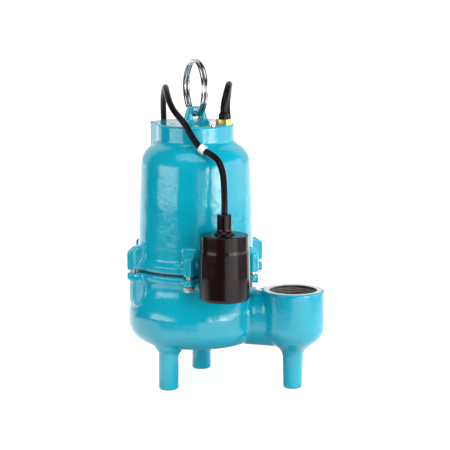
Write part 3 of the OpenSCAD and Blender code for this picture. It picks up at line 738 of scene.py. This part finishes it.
def tighten_wall(piece):
    """Draws the volute's wall in above its belly, so that it stands more upright there."""
    places = coordinates(piece)
    distance = from_axis(places, 0, 0)
    z = places[:, 2] / MM
    wide, tight = (WALL_R + (VOLUTE_R - WALL_R) * falling(z, *bulge)
                   for bulge in (WIDE_BULGE, TIGHT_BULGE))
    share = falling(np.abs(distance - wide), *WALL_BLEND)
    share *= rising(from_axis(places, *BOSS_AT), *BOSS_CLEAR)
    share[z > WIDE_BULGE[1]] = 0
    inward = (wide - tight) * share / np.maximum(distance, 1)
    places[:, :2] -= (places[:, :2] - AXIS_XY) * inward[:, None]
    move_to(piece, places)


def raise_passage(piece):
    """Lifts the top of the passage between volute and boss, and leaves both where they are."""
    places = coordinates(piece)
    z = places[:, 2] / MM
    aside = np.abs(places[:, 1] - AXIS.y) / MM
    to_boss = from_axis(places, *BOSS_AT)
    lift = PASSAGE_RISE * rising(z, *PASSAGE_BOTTOM) * falling(z, *PASSAGE_TOP)
    lift *= falling(aside, *PASSAGE_SIDE) * rising(from_axis(places, 0, 0), *VOLUTE_CLEAR)
    lift *= rising(to_boss, *PORT_CLEAR) * falling(to_boss, *PORT_REACH)
    places[:, 2] += lift * MM
    move_to(piece, places)


def taper_lug(piece):
    """Thickens the lug towards its foot, as a casting's draft does."""
    places = coordinates(piece)
    height = (places[:, 2] / MM - ROOF_TOP) / LUG_H
    angle = math.radians(LUG_ANGLE)
    across = np.array((math.sin(angle), -math.cos(angle)))
    depth = (places[:, :2] - AXIS_XY) @ across
    grown = depth * LUG_DRAFT * np.clip(1 - height, 0, 1) * rising(height, *LUG_FOOT)
    places[:, :2] += grown[:, None] * across
    move_to(piece, places)


def thread_mesh():
    """The port's inner surface: a V thread as rows of vertices that climb one pitch a turn."""
    count = int((THREAD_HIGH - THREAD_LOW) / THREAD_PITCH * THREAD_STEPS)
    row = len(THREAD_PROFILE)
    vertices, faces = [], []
    for i in range(count + 1):
        angle = 2 * math.pi * i / THREAD_STEPS
        for radius, share in THREAD_PROFILE:
            z = THREAD_LOW + THREAD_PITCH * (i / THREAD_STEPS + share - 1)
            vertices.append(pump(BOSS_AT[0] + radius * math.cos(angle),
                                 BOSS_AT[1] + radius * math.sin(angle), z))
    for start in range(0, count * row, row):
        for a in range(start, start + row - 1):
            faces.append((a, a + 1, a + row + 1, a + row))
    return vertices, faces


housing = casting("motor_housing_casting", "motor_housing", HOUSING_FILLET, HOUSING_VOXEL,
                  [EPOXY])
taper_lug(housing)
drill(housing, TAPPED_HOLE_AT, TAPPED_HOLE_R, ROOF_TOP, TAPPED_HOLE_DEPTH)
volute = casting("volute_casting", "volute_casing", VOLUTE_FILLET, VOLUTE_VOXEL,
                 [EPOXY, RAW_IRON_AND_THREAD_SHADE, FACED_IRON_AND_HIGHLIGHT])
tighten_wall(volute)
raise_passage(volute)
drill(volute, BOSS_AT, THREAD_ROOT_R + THREAD_GAP, BOSS_TOP, PORT_DEPTH)
finish_volute(volute)

# The thread in stripes of pale and dark iron: painted highlight and painted shade.
thread = new_object("discharge_thread", *thread_mesh(), LIT_THREAD_IRON, smooth=False)
thread.data.materials.append(RAW_IRON_AND_THREAD_SHADE)
thread_faces = thread.data.polygons
thread_faces.foreach_set("material_index", THREAD_LIT_AND_SHADED_FACES * (len(thread_faces) // len(THREAD_LIT_AND_SHADED_FACES)))
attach(thread, "casing")

# ---------------------------------------------------------------- lifting ring

# Its wire runs from RING_FROM to RING_TO in degrees, and crosses over at one turn, within
# RING_CROSS on both sides.
RING_D = 74.2
RING_WIRE_D = 4.6
RING_GAP = 0.2
RING_SIDES = 20
RING_HOLE_Z = 346.5
RING_RISE = 2.4
RING_TURN = -62
RING_FROM = 15
RING_TO = 705
RING_CROSS = 10
RING_STEPS = 180


def ring_path():
    """One wire of almost two turns, side by side, that crosses over once."""
    radius = (RING_D - RING_WIRE_D) / 2
    pitch = RING_WIRE_D + RING_GAP
    turn = Matrix.Rotation(math.radians(LUG_ANGLE), 3, "Z")
    middle = Vector((0, 0, RING_HOLE_Z + RING_RISE + radius))
    points = []
    for i in range(RING_STEPS + 1):
        angle = RING_FROM + (RING_TO - RING_FROM) * i / RING_STEPS
        side = max(-1, min(1, (angle - 360) / RING_CROSS))
        turned = math.radians(angle + RING_TURN)
        local = Vector((side * pitch / 2, radius * math.cos(turned), radius * math.sin(turned)))
        points.append(pump(*(middle + turn @ local)))
    return points


ring = tube("split_ring", ring_path(), RING_WIRE_D / 2 * MM, RING_SIDES, CHROME)
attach(ring, "ring")
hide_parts("lifting_ring")
